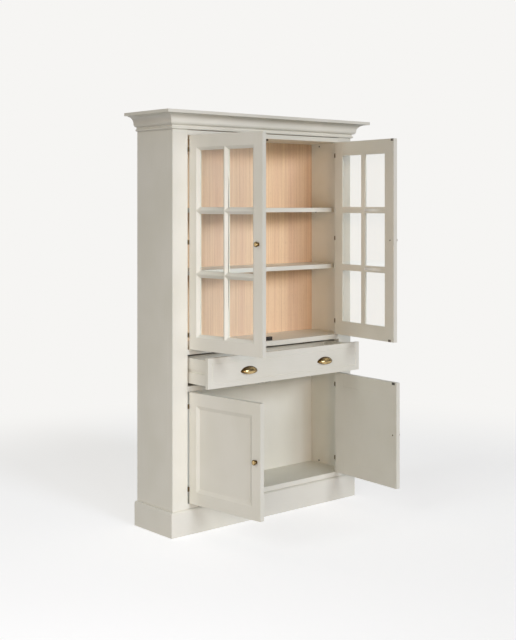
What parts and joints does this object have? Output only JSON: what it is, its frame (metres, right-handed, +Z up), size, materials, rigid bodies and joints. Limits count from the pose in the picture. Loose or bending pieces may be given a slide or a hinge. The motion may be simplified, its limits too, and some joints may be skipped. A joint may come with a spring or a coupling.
{
  "type": "display cabinet",
  "caption": "Tall display cabinet: glazed doors over a wide drawer over a two-door cupboard, with a cove cornice and a plinth.",
  "frame": {"origin": "on the floor, at mid width and mid depth of the carcass, on the underside of the plinth's centre brace", "axes": "+Z up; +Y from the front to the wall behind; +X to the right of a person who faces the cabinet"},
  "size_m": [1.292, 0.7859, 2],
  "materials": {
    "painted_wood": "satin sprayed paint, warm off-white, over MDF and hardwood",
    "oak_veneer": "oiled oak veneer, straight vertical grain",
    "runner_hardwood": "planed beech, waxed",
    "aged_brass": "aged brass, darkened in the hollows, satin on the high places",
    "hinge_brass": "dull antique brass",
    "steel": "zinc-plated steel, dark",
    "dark_plastic": "moulded plastic, matt",
    "clear_glass": "clear float glass, polished"
  },
  "bodies": {
    "carcass": {"side_panel_left": "painted_wood", "side_panel_right": "painted_wood", "front_stile_left": "painted_wood", "front_stile_right": "painted_wood", "bottom_board": "painted_wood", "divider_board": "painted_wood", "middle_board": "painted_wood", "top_board": "painted_wood", "lower_back_panel": "painted_wood", "display_shelves": "painted_wood", "cornice_front": "painted_wood", "cornice_returns": "painted_wood", "cornice_cap": "painted_wood", "plinth_front": "painted_wood", "plinth_returns": "painted_wood", "plinth_braces": "painted_wood", "display_back_panel": "oak_veneer", "drawer_runners": "runner_hardwood", "shelf_pins": "steel", "door_catches": "dark_plastic", "frame_hinge_leaves": "hinge_brass"},
    "upper_left_door": {"upper_left_door_hinge_stile": "painted_wood", "upper_left_door_meeting_stile": "painted_wood", "upper_left_door_rails": "painted_wood", "upper_left_door_glazing_bars": "painted_wood", "upper_left_door_glazing_beads": "painted_wood", "upper_left_door_glass_panes": "clear_glass", "upper_left_door_knob": "aged_brass", "upper_left_door_hinge_leaves": "hinge_brass", "upper_left_door_strike_plates": "steel"},
    "upper_right_door": {"upper_right_door_hinge_stile": "painted_wood", "upper_right_door_meeting_stile": "painted_wood", "upper_right_door_rails": "painted_wood", "upper_right_door_glazing_bars": "painted_wood", "upper_right_door_glazing_beads": "painted_wood", "upper_right_door_glass_panes": "clear_glass", "upper_right_door_knob": "aged_brass", "upper_right_door_hinge_leaves": "hinge_brass", "upper_right_door_strike_plates": "steel"},
    "lower_left_door": {"lower_left_door_hinge_stile": "painted_wood", "lower_left_door_meeting_stile": "painted_wood", "lower_left_door_rails": "painted_wood", "lower_left_door_panel": "painted_wood", "lower_left_door_knob": "aged_brass", "lower_left_door_hinge_leaves": "hinge_brass", "lower_left_door_strike_plate": "steel"},
    "lower_right_door": {"lower_right_door_hinge_stile": "painted_wood", "lower_right_door_meeting_stile": "painted_wood", "lower_right_door_rails": "painted_wood", "lower_right_door_panel": "painted_wood", "lower_right_door_knob": "aged_brass", "lower_right_door_hinge_leaves": "hinge_brass", "lower_right_door_strike_plate": "steel"},
    "drawer": {"drawer_front": "painted_wood", "drawer_side_left": "painted_wood", "drawer_side_right": "painted_wood", "drawer_back": "painted_wood", "drawer_bottom": "painted_wood", "cup_pulls": "aged_brass"}
  },
  "joints": [
    {"name": "upper_left_door_hinge", "type": "hinge", "parent": "carcass", "child": "upper_left_door", "pos_m": [-0.4845, -0.154, 1.3805], "axis": [0, 0, -1], "range_deg": [-83, 82]},
    {"name": "upper_right_door_hinge", "type": "hinge", "parent": "carcass", "child": "upper_right_door", "pos_m": [0.4845, -0.154, 1.3805], "axis": [0, 0, 1], "range_deg": [-84.4, 80.6]},
    {"name": "lower_left_door_hinge", "type": "hinge", "parent": "carcass", "child": "lower_left_door", "pos_m": [-0.4845, -0.154, 0.408], "axis": [0, 0, -1], "range_deg": [-84.6, 80.4]},
    {"name": "lower_right_door_hinge", "type": "hinge", "parent": "carcass", "child": "lower_right_door", "pos_m": [0.4845, -0.154, 0.408], "axis": [0, 0, 1], "range_deg": [-86.5, 78.5]},
    {"name": "drawer_slide", "type": "slide", "parent": "carcass", "child": "drawer", "axis": [0, -1, 0], "range_m": [-0.158, 0.04]}
  ]
}
